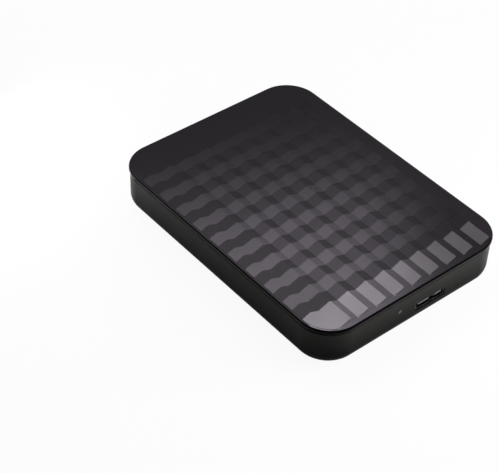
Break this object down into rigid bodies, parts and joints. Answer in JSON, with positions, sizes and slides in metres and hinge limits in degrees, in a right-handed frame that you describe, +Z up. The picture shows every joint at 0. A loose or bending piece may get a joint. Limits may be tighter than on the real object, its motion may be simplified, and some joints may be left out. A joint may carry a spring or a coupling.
{
  "type": "portable external hard drive",
  "caption": "Flat portable hard drive with rounded corners, a checked glossy lid over a dark tray, a micro-B socket at one end and a complete disk mechanism inside.",
  "frame": {"origin": "middle of the underside, at the height of its flat bottom", "axes": "+X to the right seen from the socket end, +Y along the length away from the socket, +Z up through the lid"},
  "size_m": [0.082, 0.112, 0.0176],
  "materials": {
    "lid_check": "glossy dark grey with a tone-on-tone check",
    "case_grey": "fine satin grain",
    "lamp_clear": "clear moulded light pipe",
    "cup_rubber": "soft matt rubber",
    "cast_alloy": "die-cast with machined faces",
    "cover_sheet": "stamped sheet",
    "seal_rubber": "soft seal",
    "screw_steel": "plated steel",
    "filter_paper": "white filter cloth",
    "turned_steel": "ground",
    "lamination": "stacked laminations",
    "copper_wire": "enamelled copper wire",
    "yoke_plate": "nickel-plated",
    "magnet_coat": "plated magnet",
    "stop_rubber": "soft stop",
    "ramp_plastic": "pale moulded polymer",
    "connector_black": "moulded",
    "tongue_grey": "moulded",
    "flex_film": "amber film",
    "board_green": "solder mask",
    "insulator_film": "thin foam sheet",
    "chip_black": "moulded package",
    "can_metal": "bright can",
    "capacitor_tan": "ceramic",
    "led_body": "clear",
    "shield_foil": "thin sheet",
    "shell_metal": "dark plated shell",
    "contact_gold": "gold-plated",
    "hub_alloy": "turned",
    "platter_mirror": "polished disk",
    "suspension_steel": "thin spring sheet",
    "slider_ceramic": "polished ceramic"
  },
  "bodies": {
    "case": {"top_cover": "lid_check", "bottom_case": "case_grey", "light_pipe": "lamp_clear", "bumper_front_left": "cup_rubber", "bumper_front_right": "cup_rubber", "bumper_rear_left": "cup_rubber", "bumper_rear_right": "cup_rubber", "drive_base": "cast_alloy", "drive_cover": "cover_sheet", "cover_seal": "seal_rubber", "cover_screws": "screw_steel", "pivot_screw": "screw_steel", "breather_filter": "filter_paper", "recirculation_filter": "filter_paper", "spindle_sleeve": "turned_steel", "stator_core": "lamination", "stator_windings": "copper_wire", "pivot_shaft": "turned_steel", "lower_yoke": "yoke_plate", "upper_yoke": "yoke_plate", "lower_magnet": "magnet_coat", "upper_magnet": "magnet_coat", "yoke_posts": "yoke_plate", "crash_stops": "stop_rubber", "park_ramp": "ramp_plastic", "head_connector": "connector_black", "flex_bracket": "connector_black", "flex_ribbon": "flex_film", "circuit_board": "board_green", "board_insulator": "insulator_film", "board_screws": "screw_steel", "controller_chip": "chip_black", "memory_chip": "chip_black", "motor_chip": "chip_black", "bridge_chip": "chip_black", "crystal_can": "can_metal", "power_inductor": "chip_black", "ceramic_capacitors": "capacitor_tan", "activity_led": "led_body", "shield_plate": "shield_foil", "usb_socket": "shell_metal", "usb_tongue": "tongue_grey", "usb_contacts": "contact_gold"},
    "spindle": {"spindle_hub": "hub_alloy", "spindle_shaft": "turned_steel", "rotor_magnet": "magnet_coat", "lower_platter": "platter_mirror", "upper_platter": "platter_mirror", "platter_spacer": "hub_alloy", "disk_clamp": "hub_alloy", "clamp_screw": "screw_steel"},
    "actuator": {"actuator_block": "cast_alloy", "pivot_sleeve": "turned_steel", "voice_coil": "copper_wire", "suspensions": "suspension_steel", "head_sliders": "slider_ceramic", "preamp_chip": "chip_black"}
  },
  "joints": [
    {"name": "spindle_spin", "type": "hinge", "parent": "case", "child": "spindle", "pos_m": [0, 0.01295, 0.0155], "axis": [0, 0, 1], "continuous": true},
    {"name": "actuator_swing", "type": "hinge", "parent": "case", "child": "actuator", "pos_m": [-0.011, -0.02505, 0.0115], "axis": [0, 0, 1], "range_deg": [0, 35.6]}
  ]
}
